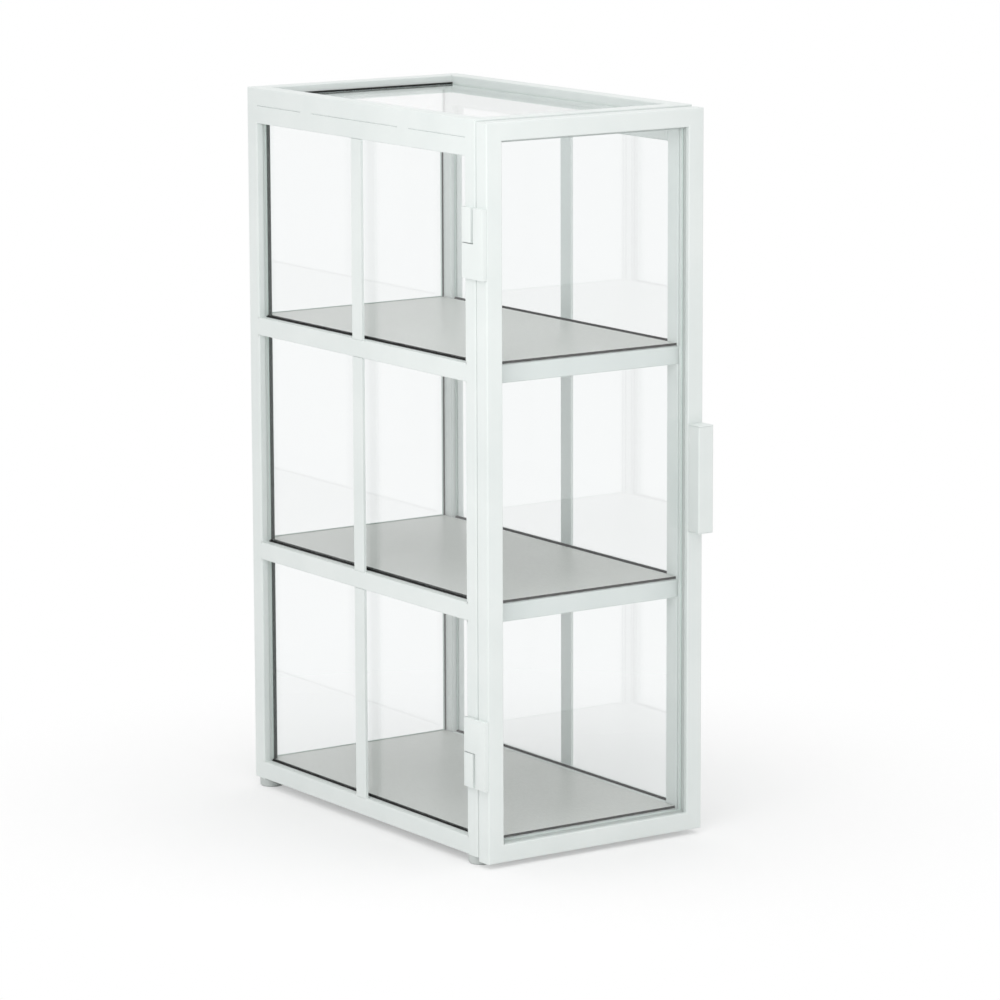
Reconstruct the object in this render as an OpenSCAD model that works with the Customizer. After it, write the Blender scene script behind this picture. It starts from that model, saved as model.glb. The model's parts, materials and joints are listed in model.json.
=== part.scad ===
// Bread display case: a welded square-tube frame glazed on its sides, back and top, with a
// floor panel, two shelves and a framed glass door on two side hinges.
// Millimetres. +Z is up and +Y runs from the door to the back. The origin is on the surface
// that the case stands on, under the middle of its whole width and depth.

/* [Case] */
// Width of the frame
case_w = 285; // [220:5:400]
// Depth of the frame, without the door
case_d = 460; // [340:5:700]
// Height of the frame, without the feet
case_h = 800; // [720:5:1000]
// Height from one shelf level to the next
tier_pitch = 260; // [200:5:300]

/* [Tube] */
// Outside size of the square tube
tube = 20; // [18:1:26]
// Wall of the square tube
tube_wall = 1.5; // [1:0.1:2.5]
// Outside corner radius of the square tube
tube_round = 1.5; // [0.5:0.1:2.4]
// Length of a ground stitch weld between the header rail and the top tube
stitch_l = 22; // [10:1:40]
// Middle of the front stitch weld, from the front of the frame
stitch_front = 139; // [60:1:150]
// Middle of the back stitch weld, from the back of the frame
stitch_back = 125; // [60:1:150]

/* [Shelves] */
// Thickness of the floor panel and the shelves
panel_t = 3.5; // [2:0.5:6]
// Clearance between a panel and the side rails
panel_gap = 0.5; // [0.2:0.1:2]
// Set-back of a panel from the front and the back of the frame
panel_in = 1.5; // [0.5:0.5:4]

/* [Glass] */
// Thickness of every pane
glass_t = 5; // [3:0.5:6]
// Depth of a side pane's outer face behind the frame's side
glass_in = 10; // [6:0.5:10]
// Depth of a back pane's outer face behind the frame's back
back_glass_in = 0.5; // [0.5:0.5:4]
// Clearance of a pane's free edges
glass_gap = 0.3; // [0.1:0.1:1]
// Width of the mullion that stands in front of each side pane
mullion_w = 20; // [10:1:40]
// Thickness of the mullion, a flat bar level with the outside of the frame
mullion_t = 3; // [2:0.5:6]
// Middle of the mullion, from the front of the frame
mullion_y = 233; // [150:1:240]
// Thickness of the black glazing tape
tape_t = 1.5; // [0.8:0.1:2.5]
// Distance of the upright strip's inner edge from the tube's inner edge
tape_edge = 0.5; // [0:0.1:1]
// Width of the tape strips at the sides of the back panes
back_tape_w = 4; // [2:0.5:4]

/* [Top glass] */
// Depth of the top pane below the top of the frame
top_drop = 10; // [6:0.5:11]
// Width of the ledges under the top pane
ledge_w = 8; // [5:0.5:12]
// Thickness of the ledges under the top pane
ledge_t = 3; // [2:0.5:4]
// Clearance of the ends of the ledges
ledge_gap = 0.5; // [0.3:0.1:2]
// Width of the gasket strips on the top pane's front and back edges
gasket_w = 2; // [2:0.5:6]
// Height of those gasket strips
gasket_h = 2; // [2:0.5:4]

/* [Door] */
// Gap between the frame and the door
door_gap = 1.5; // [1:0.1:3]
// Length of the door below the underside of the frame
door_below = 4; // [0:0.5:6]
// Distance of the door's top below the top of the frame
door_top = 2; // [0:0.5:10]
// Width of the sealant round the door's pane
sealant_t = 1.5; // [0.5:0.1:3]
// Length of the handle
handle_l = 120; // [60:5:240]
// Depth of the handle in front of the door
handle_d = 20; // [14:1:35]
// Distance of the handle's middle below the door's middle
handle_drop = 4; // [0:1:60]
// Thickness of the handle's end caps
handle_cap_t = 1.5; // [1:0.5:3]

/* [Hinges] */
// Height of a hinge, both halves
hinge_h = 76; // [50:1:110]
// Thickness of a hinge half, which stands proud of the side
hinge_t = 5; // [4.5:0.5:8]
// Gap between the two halves of a hinge
hinge_split = 1; // [0.5:0.1:2]
// Diameter of the hinge pin
pin_d = 2.5; // [2:0.1:3]
// Clearance of the arm of the door half from the frame
arm_gap = 0.5; // [0.3:0.1:1]
// Set-back of the frame half from the front of the frame
frame_half_in = 1.5; // [0:0.5:4]
// Set-back of the door half's plate from the front of the frame
plate_in = 3; // [3:0.5:5]
// Middle of the upper hinge, from the top of the frame
upper_hinge_down = 131; // [80:1:200]
// Middle of the lower hinge, from the underside of the frame
lower_hinge_up = 115.5; // [80:0.5:200]

/* [Catch] */
// Diameter of a catch magnet
magnet_d = 8; // [5:0.5:10]
// Length of a catch magnet
magnet_l = 4; // [3:0.5:6]
// How far a magnet stands proud of the frame
magnet_proud = 0.8; // [0.3:0.1:0.9]
// Distance of the magnets from the top and the underside of the frame
magnet_in = 60; // [50:1:120]
// Diameter of a door bumper
bumper_d = 8; // [5:0.5:10]
// Distance of the bumpers from the ends of the door
bumper_in = 20; // [12:1:22]

/* [Feet] */
// Diameter of a foot
foot_d = 28; // [24:1:28]
// Height of a foot
foot_h = 10; // [6:1:20]
// Bevel round the bottom of a foot
foot_bevel = 1.5; // [0.5:0.5:3]
// Thickness of the plate that closes the bottom of a post
foot_plate_t = 3; // [2:0.5:5]
// Diameter of the foot screw
screw_d = 4; // [3:0.5:4]
// Length of the foot screw under its head
screw_l = 12; // [8:1:20]
// Diameter of the foot screw's head
screw_head_d = 8; // [6:0.5:10]
// Height of the foot screw's head
screw_head_h = 2.5; // [1.5:0.5:3]
// Depth of the recess for the screw's head
screw_recess = 4; // [3:0.5:5]

/* [Hidden] */
$fn = 48;

paint = "whitesmoke";
board = "silver";
clear = [0.8, 0.9, 0.9, 0.35];
rubber = "dimgray";
steel = "gray";

// Clearances of pressed, running, welded, butted and screwed fits
press_fit = 0.02;
running_fit = 0.06;
plate_fit = 0.1;
strip_joint = 0.2;
screw_play = 0.2;
head_play = 0.5;
bumper_gap = 0.3;
// Cutters run past the faces that they cut
over = 1;

// Places across the frame, which starts at x = 0, y = 0 and z = 0
right_x = case_w - tube;
back_y = case_d - tube;
rail_l = case_d - 2 * tube;
bar_l = case_w - 2 * tube;
// Tops of the three panels
levels = [for (i = [0:2]) tube + i * tier_pitch];
// Tops of the side rails, lower by the tape's thickness beside the two shelves
rail_tops = [levels[0], levels[1] - tape_t, levels[2] - tape_t];
header_z = case_h - 2 * tube;
top_z = case_h - tube;
bar_tops = [for (z = levels) z - panel_t];
bottom_bar_h = bar_tops[0];

// A foot's rim is level with the frame's outer faces
foot_in = foot_d / 2;
plate_w = tube - 2 * (tube_wall + plate_fit);

// Places of the door
door_back = -door_gap;
door_front = door_back - tube;
door_z = -door_below;
door_h = case_h - door_top - door_z;
handle_z = door_z + (door_h - handle_l) / 2 - handle_drop;
handle_front = door_front - handle_d;
pane_y = door_back - (tube + glass_t) / 2;

// Places of the hinges
pin_x = -(hinge_t + arm_gap) / 2;
pin_y = tube - hinge_t / 2;
hinge_half = (hinge_h - hinge_split) / 2;
arm_r = (hinge_t - arm_gap) / 2;

// Places of the panes and of the tape along their edges
post_tape_w = tube - glass_in - glass_t - tape_edge;
pane_tops = [rail_tops[1] - tube, rail_tops[2] - tube, header_z];
back_pane_tops = [bar_tops[1] - tube, bar_tops[2] - tube, top_z];
top_pane_z = case_h - top_drop - glass_t;

// The whole case's box, which sets the origin
mid_x = (case_w - hinge_t) / 2;
mid_y = (case_d + handle_front) / 2;

// Moves a piece from the frame's front left bottom corner to the part's origin
module in_case() {
    translate([-mid_x, -mid_y, foot_h]) children();
}

// Mirrors what stands on the left of the frame to its right
module on_right() {
    translate([case_w, 0, 0]) mirror([1, 0, 0]) children();
}

// Mirrors what stands at the front of the frame to its back
module on_back() {
    translate([0, case_d, 0]) mirror([0, 1, 0]) children();
}

// Square with rounded corners
module rounded(w, h) {
    translate([tube_round, 0]) square([w - 2 * tube_round, h]);
    translate([0, tube_round]) square([w, h - 2 * tube_round]);
    for (x = [tube_round, w - tube_round], y = [tube_round, h - tube_round])
        translate([x, y]) circle(tube_round);
}

// Square rounded only at its top left corner: the outer top edges of a post
module top_rounded(w, h) {
    translate([tube_round, 0]) square([w - tube_round, h]);
    square([w, h - tube_round]);
    translate([tube_round, h - tube_round]) circle(tube_round);
}

// Length of tube standing on its end
module upright(w, h, l) {
    linear_extrude(l) difference() {
        rounded(w, h);
        translate([tube_wall, tube_wall]) square([w - 2 * tube_wall, h - 2 * tube_wall]);
    }
}

// Lay an upright length of tube of height h along X or along Y
module along_x(h) {
    translate([0, 0, h]) rotate([0, 90, 0]) children();
}
module along_y(h) {
    translate([0, 0, h]) rotate([-90, 0, 0]) children();
}

// Solid shape of the front left post, which the ends of the rails are cut to
module post_shape() {
    translate([0, 0, -over]) linear_extrude(case_h + 2 * over) rounded(tube, tube);
}

// Front left post: a tube with its top end closed and its two outer top edges ground round
module post() {
    intersection() {
        difference() {
            linear_extrude(case_h) rounded(tube, tube);
            translate([tube_wall, tube_wall, -over])
                cube([tube - 2 * tube_wall, tube - 2 * tube_wall, case_h + over - tube_wall]);
        }
        translate([0, tube + over, 0]) rotate([90, 0, 0])
            linear_extrude(tube + 2 * over) top_rounded(tube + over, case_h);
        translate([-over, 0, 0]) rotate([90, 0, 90])
            linear_extrude(tube + 2 * over) top_rounded(tube + over, case_h);
    }
}

// Rail of the left side at height z; its outer wall fills the round edges of both posts
module side_rail(z) {
    difference() {
        translate([0, tube - tube_round, z])
            along_y(tube) upright(tube, tube, rail_l + 2 * tube_round);
        post_shape();
        on_back() post_shape();
        for (y = [tube - tube_round - over, back_y])
            translate([tube / 2, y, z - over]) cube([tube, tube_round + over, tube + 2 * over]);
    }
}

// Bar of the front at height z; its outer wall fills the round edges of both posts
module front_bar(z, h) {
    difference() {
        translate([tube - tube_round, 0, z])
            along_x(h) upright(h, tube, bar_l + 2 * tube_round);
        post_shape();
        on_right() post_shape();
        for (x = [tube - tube_round - over, right_x])
            translate([x, tube / 2, z - over]) cube([tube_round + over, tube, h + 2 * over]);
    }
}

// Weld beads ground level with the left side, in the groove between header rail and top tube
module stitches() {
    for (y = [stitch_front, case_d - stitch_back])
        difference() {
            translate([0, y - stitch_l / 2, top_z - tube_round])
                cube([tube_round, stitch_l, 2 * tube_round]);
            for (z = [top_z - tube, top_z])
                translate([0, y - stitch_l / 2 - over, z])
                    along_y(tube) linear_extrude(stitch_l + 2 * over) rounded(tube, tube);
        }
}

// Flat bars in front of the left panes, one between each two side rails
module mullions() {
    for (i = [0:2])
        translate([0, mullion_y - mullion_w / 2, rail_tops[i]])
            cube([mullion_t, mullion_w, pane_tops[i] - rail_tops[i]]);
}

// Left pane of one tier, which stands on the tape
module side_pane(i) {
    translate([glass_in, tube + glass_gap, rail_tops[i] + tape_t])
        cube([glass_t, rail_l - 2 * glass_gap, pane_tops[i] - glass_gap - rail_tops[i] - tape_t]);
}

// Back pane of one tier, which stands on the panel between the tape on both back posts
module back_pane(i) {
    translate([tube + tape_t, case_d - back_glass_in - glass_t, levels[i]])
        cube([bar_l - 2 * tape_t, glass_t, back_pane_tops[i] - glass_gap - levels[i]]);
}

// Tape under the left panes
module side_tape() {
    for (z = rail_tops) translate([glass_in, tube + glass_gap, z]) cube([glass_t, rail_l - glass_gap, tape_t]);
}

// Floor panel or shelf
module panel(i) {
    translate([tube + panel_gap, panel_in, levels[i] - panel_t])
        cube([bar_l - 2 * panel_gap, case_d - 2 * panel_in, panel_t]);
}

// Door tube of length l along X, mitred at both ends with its long side down
module mitred(l) {
    intersection() {
        along_x(tube) upright(tube, tube, l);
        translate([0, tube + over, 0]) rotate([90, 0, 0]) linear_extrude(tube + 2 * over)
            polygon([[0, 0], [l, 0], [l - tube, tube], [tube, tube]]);
    }
}

// Frame half of a hinge above z = 0, with a bore that grips the pin
module frame_half() {
    difference() {
        linear_extrude(hinge_half) {
            translate([-hinge_t, frame_half_in]) square([hinge_t, pin_y - frame_half_in]);
            translate([pin_x, pin_y - over]) square([-pin_x, arm_r + over]);
            translate([pin_x, pin_y]) circle(arm_r);
        }
        translate([pin_x, pin_y, -over])
            cylinder(d = pin_d + 2 * press_fit, h = hinge_half + 2 * over);
    }
}

// Door half of a hinge: a plate on the door's side, and an arm back to the pin below z = 0
module door_half() {
    translate([-hinge_t, door_front, -hinge_h / 2])
        cube([hinge_t, -plate_in - door_front, hinge_h]);
    difference() {
        translate([0, 0, -hinge_h / 2]) linear_extrude(hinge_half) {
            translate([-hinge_t, -plate_in - over]) square([2 * arm_r, pin_y + plate_in + over]);
            translate([pin_x, pin_y]) circle(arm_r);
        }
        translate([pin_x, pin_y, -hinge_h / 2 - over])
            cylinder(d = pin_d + 2 * running_fit, h = hinge_half + 2 * over);
    }
}

// Puts a hinge piece at the upper hinge, or upside down at the lower one
module at_upper_hinge() {
    translate([0, 0, case_h - upper_hinge_down]) children();
}
module at_lower_hinge() {
    translate([0, 0, lower_hinge_up]) mirror([0, 0, 1]) children();
}

// Repeats what stands at the front left corner at all four
module at_corners() {
    children();
    on_right() children();
    on_back() children();
    on_right() on_back() children();
}

// Magnets in the front of the front right post, and the holes that they sit in
module magnets(fit) {
    for (z = [magnet_in, case_h - magnet_in])
        translate([case_w - tube / 2, magnet_l - magnet_proud, z])
            rotate([90, 0, 0]) cylinder(d = magnet_d + 2 * fit, h = magnet_l);
}

// Round foot with a bore for its screw and a recess for the screw's head
module foot() {
    translate([foot_in, foot_in, -foot_h]) difference() {
        union() {
            cylinder(d1 = foot_d - 2 * foot_bevel, d2 = foot_d, h = foot_bevel);
            translate([0, 0, foot_bevel]) cylinder(d = foot_d, h = foot_h - foot_bevel);
        }
        translate([0, 0, -over]) cylinder(d = screw_d + 2 * screw_play, h = foot_h + 2 * over);
        translate([0, 0, -over]) cylinder(d = screw_head_d + 2 * head_play, h = screw_recess + over);
    }
}

// Pan-head screw that holds a foot to the plate in its post
module foot_screw() {
    translate([foot_in, foot_in, screw_recess - foot_h]) {
        cylinder(d = screw_d, h = screw_l);
        difference() {
            translate([0, 0, -screw_head_h]) cylinder(d = screw_head_d, h = screw_head_h);
            translate([0, 0, -screw_head_h - over])
                cylinder(d = screw_d, h = screw_head_h / 2 + over, $fn = 6);
        }
    }
}

// The frame
module post_front_left() color(paint) in_case() post();
module post_front_right() color(paint) in_case() difference() {
    on_right() post();
    magnets(press_fit);
}
module post_back_left() color(paint) in_case() on_back() post();
module post_back_right() color(paint) in_case() on_right() on_back() post();
module foot_plates() color(steel) in_case() at_corners() difference() {
    translate([tube_wall + plate_fit, tube_wall + plate_fit, 0])
        cube([plate_w, plate_w, foot_plate_t]);
    translate([foot_in, foot_in, -over])
        cylinder(d = screw_d + 2 * press_fit, h = foot_plate_t + 2 * over);
}
module side_rail_left_bottom() color(paint) in_case() side_rail(0);
module side_rail_left_lower() color(paint) in_case() side_rail(rail_tops[1] - tube);
module side_rail_left_upper() color(paint) in_case() side_rail(rail_tops[2] - tube);
module header_rail_left() color(paint) in_case() side_rail(header_z);
module side_rail_right_bottom() color(paint) in_case() on_right() side_rail(0);
module side_rail_right_lower() color(paint) in_case() on_right() side_rail(rail_tops[1] - tube);
module side_rail_right_upper() color(paint) in_case() on_right() side_rail(rail_tops[2] - tube);
module header_rail_right() color(paint) in_case() on_right() side_rail(header_z);
module top_tube_left() color(paint) in_case() side_rail(top_z);
module top_tube_right() color(paint) in_case() on_right() side_rail(top_z);
module top_tube_front() color(paint) in_case() front_bar(top_z, tube);
module top_tube_back() color(paint) in_case() on_back() front_bar(top_z, tube);
module stitch_welds() color(paint) in_case() {
    stitches();
    on_right() stitches();
}
module front_bar_bottom() color(paint) in_case() front_bar(0, bottom_bar_h);
module front_bar_lower() color(paint) in_case() front_bar(bar_tops[1] - tube, tube);
module front_bar_upper() color(paint) in_case() front_bar(bar_tops[2] - tube, tube);
module back_bar_bottom() color(paint) in_case() on_back() front_bar(0, bottom_bar_h);
module back_bar_lower() color(paint) in_case() on_back() front_bar(bar_tops[1] - tube, tube);
module back_bar_upper() color(paint) in_case() on_back() front_bar(bar_tops[2] - tube, tube);
module mullions_left() color(paint) in_case() mullions();
module mullions_right() color(paint) in_case() on_right() mullions();

// The floor and the shelves
module floor_panel() color(board) in_case() panel(0);
module shelf_lower() color(board) in_case() panel(1);
module shelf_upper() color(board) in_case() panel(2);

// The panes and what they stand on
module side_glass_left_bottom() color(clear) in_case() side_pane(0);
module side_glass_left_middle() color(clear) in_case() side_pane(1);
module side_glass_left_top() color(clear) in_case() side_pane(2);
module side_glass_right_bottom() color(clear) in_case() on_right() side_pane(0);
module side_glass_right_middle() color(clear) in_case() on_right() side_pane(1);
module side_glass_right_top() color(clear) in_case() on_right() side_pane(2);
module back_glass_bottom() color(clear) in_case() back_pane(0);
module back_glass_middle() color(clear) in_case() back_pane(1);
module back_glass_top() color(clear) in_case() back_pane(2);
module top_glass() color(clear) in_case()
    translate([tube + glass_gap, tube + glass_gap, top_pane_z])
        cube([bar_l - 2 * glass_gap, rail_l - 2 * glass_gap, glass_t]);
module glazing_tape_left() color(rubber) in_case() {
    side_tape();
    // Strips up the back left post, along the inner faces of its panes
    for (i = [0:2])
        translate([glass_in + glass_t, back_y - tape_t, rail_tops[i] + tape_t + strip_joint])
            cube([post_tape_w, tape_t, pane_tops[i] - glass_gap - rail_tops[i] - tape_t - strip_joint]);
}
module glazing_tape_right() color(rubber) in_case() on_right() side_tape();
module glazing_tape_back() color(rubber) in_case() for (i = [0:2], x = [tube, right_x - tape_t])
    translate([x, case_d - back_glass_in - glass_t, levels[i]])
        cube([tape_t, back_tape_w, back_pane_tops[i] - glass_gap - levels[i]]);
module top_glass_ledges() color(paint) in_case() for (x = [tube, right_x - ledge_w])
    translate([x, tube + ledge_gap, top_pane_z - ledge_t])
        cube([ledge_w, rail_l - 2 * ledge_gap, ledge_t]);
module top_glass_gaskets() color(rubber) in_case() for (y = [tube, back_y - gasket_w])
    translate([tube, y, top_pane_z + glass_t]) cube([bar_l, gasket_w, gasket_h]);

// The door
module door_stile_hinge() color(paint) in_case()
    translate([0, door_front, door_z + door_h]) rotate([0, 90, 0]) mitred(door_h);
module door_stile_handle() color(paint) in_case()
    translate([case_w, door_front, door_z]) rotate([0, -90, 0]) mitred(door_h);
module door_rail_top() color(paint) in_case()
    translate([case_w, door_front, door_z + door_h]) rotate([0, 180, 0]) mitred(case_w);
module door_rail_bottom() color(paint) in_case()
    translate([0, door_front, door_z]) mitred(case_w);
module door_glass() color(clear) in_case()
    translate([tube + sealant_t, pane_y, door_z + tube + sealant_t])
        cube([bar_l - 2 * sealant_t, glass_t, door_h - 2 * (tube + sealant_t)]);
module door_glass_sealant() color(clear) in_case() translate([tube, pane_y, door_z + tube]) {
    for (x = [0, bar_l - sealant_t])
        translate([x, 0, 0]) cube([sealant_t, glass_t, door_h - 2 * tube]);
    for (z = [0, door_h - 2 * tube - sealant_t])
        translate([sealant_t + strip_joint, 0, z])
            cube([bar_l - 2 * (sealant_t + strip_joint), glass_t, sealant_t]);
}
module handle() color(paint) in_case()
    translate([right_x, handle_front, handle_z + handle_cap_t])
        upright(tube, handle_d, handle_l - 2 * handle_cap_t);
module handle_caps() color(paint) in_case() for (z = [0, handle_l - handle_cap_t])
    translate([right_x, handle_front, handle_z + z]) linear_extrude(handle_cap_t)
        rounded(tube, handle_d);

// The hinges and the catch
module hinge_frame_halves() color(paint) in_case() {
    at_upper_hinge() translate([0, 0, hinge_split / 2]) frame_half();
    at_lower_hinge() translate([0, 0, hinge_split / 2]) frame_half();
}
module hinge_upper_door_half() color(paint) in_case() at_upper_hinge() door_half();
module hinge_lower_door_half() color(paint) in_case() at_lower_hinge() door_half();
module hinge_pins() color(steel) in_case() {
    at_upper_hinge() pin();
    at_lower_hinge() pin();
}
module pin() {
    translate([pin_x, pin_y, -hinge_h / 2]) cylinder(d = pin_d, h = hinge_h);
}
module catch_magnets() color(steel) in_case() magnets(0);
module door_bumpers() color(rubber) in_case()
    for (z = [door_z + bumper_in, door_z + door_h - bumper_in])
        translate([case_w - tube / 2, -bumper_gap, z])
            rotate([90, 0, 0]) cylinder(d = bumper_d, h = door_gap - bumper_gap);

// The feet
module feet() color(rubber) in_case() at_corners() foot();
module foot_screws() color(steel) in_case() at_corners() foot_screw();

post_front_left();
post_front_right();
post_back_left();
post_back_right();
foot_plates();
side_rail_left_bottom();
side_rail_left_lower();
side_rail_left_upper();
header_rail_left();
side_rail_right_bottom();
side_rail_right_lower();
side_rail_right_upper();
header_rail_right();
top_tube_left();
top_tube_right();
top_tube_front();
top_tube_back();
stitch_welds();
front_bar_bottom();
front_bar_lower();
front_bar_upper();
back_bar_bottom();
back_bar_lower();
back_bar_upper();
mullions_left();
mullions_right();
floor_panel();
shelf_lower();
shelf_upper();
side_glass_left_bottom();
side_glass_left_middle();
side_glass_left_top();
side_glass_right_bottom();
side_glass_right_middle();
side_glass_right_top();
back_glass_bottom();
back_glass_middle();
back_glass_top();
top_glass();
glazing_tape_left();
glazing_tape_right();
glazing_tape_back();
top_glass_ledges();
top_glass_gaskets();
door_stile_hinge();
door_stile_handle();
door_rail_top();
door_rail_bottom();
door_glass();
door_glass_sealant();
handle();
handle_caps();
hinge_frame_halves();
hinge_upper_door_half();
hinge_lower_door_half();
hinge_pins();
feet();
foot_screws();
catch_magnets();
door_bumpers();
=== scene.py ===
"""Bread display case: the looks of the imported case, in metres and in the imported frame.

The welded tube frame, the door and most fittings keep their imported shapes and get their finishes
here. The panes, the laminate panels, the hinges, the handle's caps, the catch and the bumpers are
made again with their fine edges, and the weld beads and the sealant are added.
"""
import json
import math

import bmesh
import bpy
from bpy.props import FloatProperty, FloatVectorProperty, PointerProperty
from mathutils import Euler, Matrix, Vector


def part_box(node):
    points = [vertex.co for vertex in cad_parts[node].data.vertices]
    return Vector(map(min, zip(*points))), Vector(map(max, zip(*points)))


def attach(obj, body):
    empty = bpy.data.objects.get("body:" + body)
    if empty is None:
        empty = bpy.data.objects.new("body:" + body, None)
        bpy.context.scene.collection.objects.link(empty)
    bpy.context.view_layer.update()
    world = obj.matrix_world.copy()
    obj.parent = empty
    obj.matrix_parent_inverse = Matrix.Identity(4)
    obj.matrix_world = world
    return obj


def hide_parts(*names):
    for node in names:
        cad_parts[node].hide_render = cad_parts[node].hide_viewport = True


bl_info = {
    "name": "Bread display case",
    "version": (1, 0, 0),
    "blender": (4, 5, 0),
    "location": "3D View > Sidebar > Case",
    "description": "Builds the looks of a glazed bread display case around its packed frame",
    "category": "Object",
}

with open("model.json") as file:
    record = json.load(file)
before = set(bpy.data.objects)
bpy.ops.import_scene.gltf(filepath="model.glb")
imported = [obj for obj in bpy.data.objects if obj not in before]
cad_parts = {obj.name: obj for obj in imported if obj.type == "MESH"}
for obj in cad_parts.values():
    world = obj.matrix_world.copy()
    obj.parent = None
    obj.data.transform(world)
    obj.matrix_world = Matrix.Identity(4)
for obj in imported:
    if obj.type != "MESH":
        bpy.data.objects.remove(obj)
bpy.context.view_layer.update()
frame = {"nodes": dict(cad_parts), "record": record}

MM = 0.001
SIDES = ("left", "right")
TIERS = ("bottom", "middle", "top")
PANEL_NODES = ("floor_panel", "shelf_lower", "shelf_upper")
RAIL_TIERS = ("bottom", "lower", "upper")
WHITE = (1, 1, 1, 1)
SENSOR_WIDTH = 36
CLIP_END = 200

# Faces round a bead, steps along one of its ripples, and a ripple's height as a share of the radius
BEAD_SIDES = 8
BEAD_STEPS = 6
BEAD_RIPPLE = 0.12

# Flats across the hollow face of a fillet and across a rounded edge, and sides of a disc
FILLET_FLATS = 6
ROUND_FLATS = 3
DISC_SIDES = 48

# Angle between two faces past which an edge is rounded, and past which it is shaded as sharp
ROUND_FROM = math.radians(35)
SHARP_FROM = math.radians(40)


def linear(code):
    """An sRGB hex colour as linear red, green and blue."""
    parts = [int(code[i:i + 2], 16) / 255 for i in (0, 2, 4)]
    return [p / 12.92 if p <= 0.04045 else ((p + 0.055) / 1.055) ** 2.4 for p in parts]


def colour_property(name, code, description):
    """A colour that a user may change, whose default is an sRGB hex colour."""
    return FloatVectorProperty(name=name, description=description, default=linear(code),
                               subtype="COLOR", size=3, min=0, max=1)


def length_property(name, millimetres, description):
    """A length that a user may change, in metres, whose default is given in millimetres."""
    return FloatProperty(name=name, description=description, default=millimetres * MM,
                         min=0, subtype="DISTANCE", unit="LENGTH", precision=5)


# Sizes and colours

class CaseSizes(bpy.types.PropertyGroup):
    """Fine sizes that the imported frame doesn't hold."""
    arris: length_property("Arris", 0.6, "Width of the ground bevel round every pane")
    panel_edge: length_property("Panel edge", 0.35, "Bevel along the cut edges of the laminate panels")
    hinge_edge: length_property("Hinge edge", 0.6, "Rounding of the hinge halves' edges")
    cap_edge: length_property("Cap edge", 0.8, "Rounding of the handle caps where the weld was ground")
    disc_edge: length_property("Disc edge", 0.3, "Bevel of the magnets and the bumpers")
    weld_bead: length_property("Weld bead", 1.1, "Radius of the weld beads in the frame's corners")
    weld_pitch: length_property("Weld pitch", 2.4, "Distance between two ripples of a weld bead")
    free_edge: length_property("Free edge", 0.12, "Hair of room between a clear piece and what holds it")
    seal_leg: length_property("Sealant leg", 2.4, "Reach of the tooled fillet outside a side pane")
    door_leg: length_property("Door sealant leg", 2, "Reach of the tooled fillet round the door's pane")
    seat_bead: length_property("Seat bead", 0.9, "Radius of the bead between a panel and its front bar")
    seal_pitch: length_property("Sealant pitch", 17, "Distance between two swells of the sealant bead")


class CaseFinishes(bpy.types.PropertyGroup):
    """Colours of the case's materials."""
    paint: colour_property("Paint", "EAEFED", "Cool white powder coat")
    paint_thin: colour_property("Thin paint", "E4EAE8", "Where the powder coat is thinner")
    decor: colour_property("Decor", "D3D5D1", "Grey face of the laminate panels")
    decor_fleck: colour_property("Decor fleck", "C6C8C4", "Darker fibres in the decor paper")
    core: colour_property("Core", "1D1C1A", "Resin core seen at the panels' cut edges")
    glass: colour_property("Glass", "FBFCFC", "Tint of a pane seen through its faces")
    glass_edge: colour_property("Glass edge", "DCE8E3", "Ground edge of a pane")
    tape: colour_property("Tape", "151515", "Black foam glazing tape")
    sealant: colour_property("Sealant", "DDE2E0", "Slightly cloudy silicone")
    zinc: colour_property("Zinc", "BFC2C4", "Zinc-plated steel")
    nickel: colour_property("Nickel", "C9C6C0", "Nickel-plated magnets")
    rubber: colour_property("Rubber", "C4C9C7", "Light grey rubber of the feet")
    bumper: colour_property("Bumper", "E6EAEA", "Clear soft bumpers")


class CaseStage(bpy.types.PropertyGroup):
    """The camera, the lamps and the surroundings."""
    camera_place: FloatVectorProperty(name="Camera place", description="Where the camera stands",
                                      default=(-2.9256, -4.33455, 1.3133), subtype="TRANSLATION",
                                      unit="LENGTH")
    camera_turn: FloatVectorProperty(name="Camera turn", description="Pitch, roll and yaw of the camera",
                                     default=[math.radians(part) for part in (79.64, -0.19, -34.32)],
                                     subtype="EULER", unit="ROTATION")
    lens: FloatProperty(name="Lens", description="Focal length on a 36 mm sensor, in millimetres",
                        default=170.7, min=20, unit="CAMERA")
    floor_half: FloatProperty(name="Floor", description="Half the width of the floor", default=40,
                              min=1, unit="LENGTH")
    surroundings: FloatProperty(name="Surroundings", description="Plain level of the white room",
                                default=0.65, min=0)
    softbox: FloatProperty(name="Softbox", default=4.8, min=0, unit="POWER",
                           description="Power of the near softbox at the front left corner")
    softbox_place: FloatVectorProperty(name="Softbox place", description="Where the softbox hangs",
                                       default=(-0.85, -0.85, 1.0), subtype="TRANSLATION", unit="LENGTH")
    softbox_size: FloatProperty(name="Softbox size", description="Width and height of the softbox",
                                default=0.8, min=0.01, unit="LENGTH")
    softbox_aim: FloatVectorProperty(name="Softbox aim", description="What the softbox points at",
                                     default=(0, 0, 0.4), subtype="TRANSLATION", unit="LENGTH")
    overhead: FloatProperty(name="Overhead", description="Strength of the wide light from above",
                            default=0.8, min=0)
    overhead_angle: FloatProperty(name="Overhead angle", default=math.radians(70), min=0, subtype="ANGLE",
                                  unit="ROTATION", description="Width of the overhead light in the sky")
    paper: colour_property("Floor paper", "F8F8F8", "Matt white paper of the floor")
    whiteness: FloatProperty(name="Whiteness", description="Share of white in the floor under the case",
                             default=0.35, min=0, max=1, subtype="FACTOR")
    white_from: FloatProperty(name="White from", default=0.15, min=0, unit="LENGTH",
                              description="Distance at which the floor starts to turn white")
    white_at: FloatProperty(name="White at", description="Distance at which the floor is all white",
                            default=0.75, min=0, unit="LENGTH")


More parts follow.
